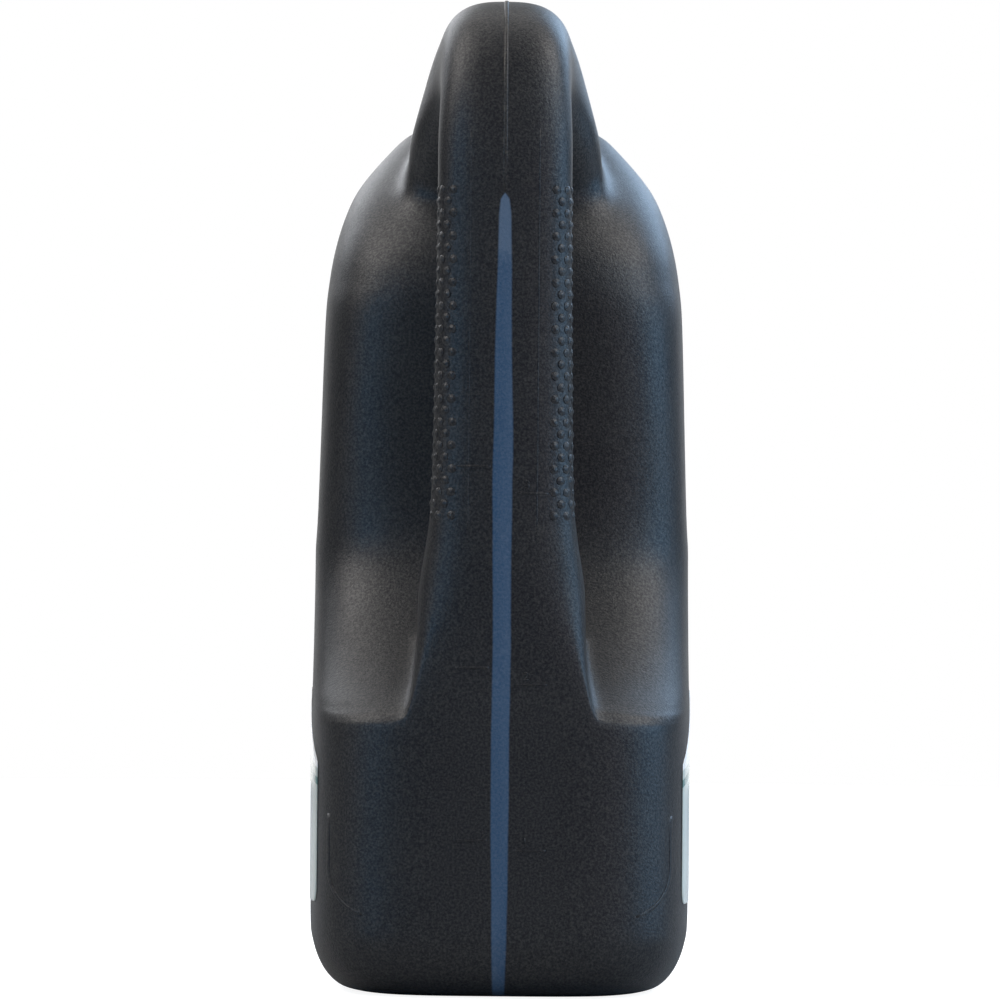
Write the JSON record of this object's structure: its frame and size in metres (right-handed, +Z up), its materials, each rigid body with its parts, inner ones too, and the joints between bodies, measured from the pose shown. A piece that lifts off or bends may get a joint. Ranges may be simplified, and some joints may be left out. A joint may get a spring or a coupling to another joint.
{
  "type": "fluid bottle",
  "caption": "Tall rectangular blow moulded fluid bottle with a rear pour handle, a view stripe, two blank labels and a ribbed screw cap.",
  "frame": {"origin": "centre of the base, on the surface that the bottle stands on", "axes": "+Z up, +X across the narrow width, -Y towards the handle, +Y towards the pouring neck"},
  "size_m": [0.1158, 0.2, 0.298],
  "materials": {
    "moulding": "satin",
    "fluid": "wet",
    "closure": "satin",
    "liner": "foam",
    "label": "film"
  },
  "bodies": {
    "bottle_body": {"bottle": "moulding", "fluid": "fluid", "tamper_band": "closure", "front_label": "label", "back_label": "label"},
    "liner": {"cap_liner": "liner"},
    "cap": {"screw_cap": "closure"}
  },
  "joints": [
    {"name": "cap_lift", "type": "slide", "parent": "bottle_body", "child": "liner", "axis": [0, 0, 1], "range_m": [0, 0.021]},
    {"name": "cap_turn", "type": "hinge", "parent": "liner", "child": "cap", "pos_m": [0, 0.054, 0.285], "axis": [0, 0, 1], "range_deg": [0, 1801]}
  ],
  "couplings": [
    {"joint": "cap_turn", "follows": "cap_lift", "rad_per_m": 1496}
  ]
}
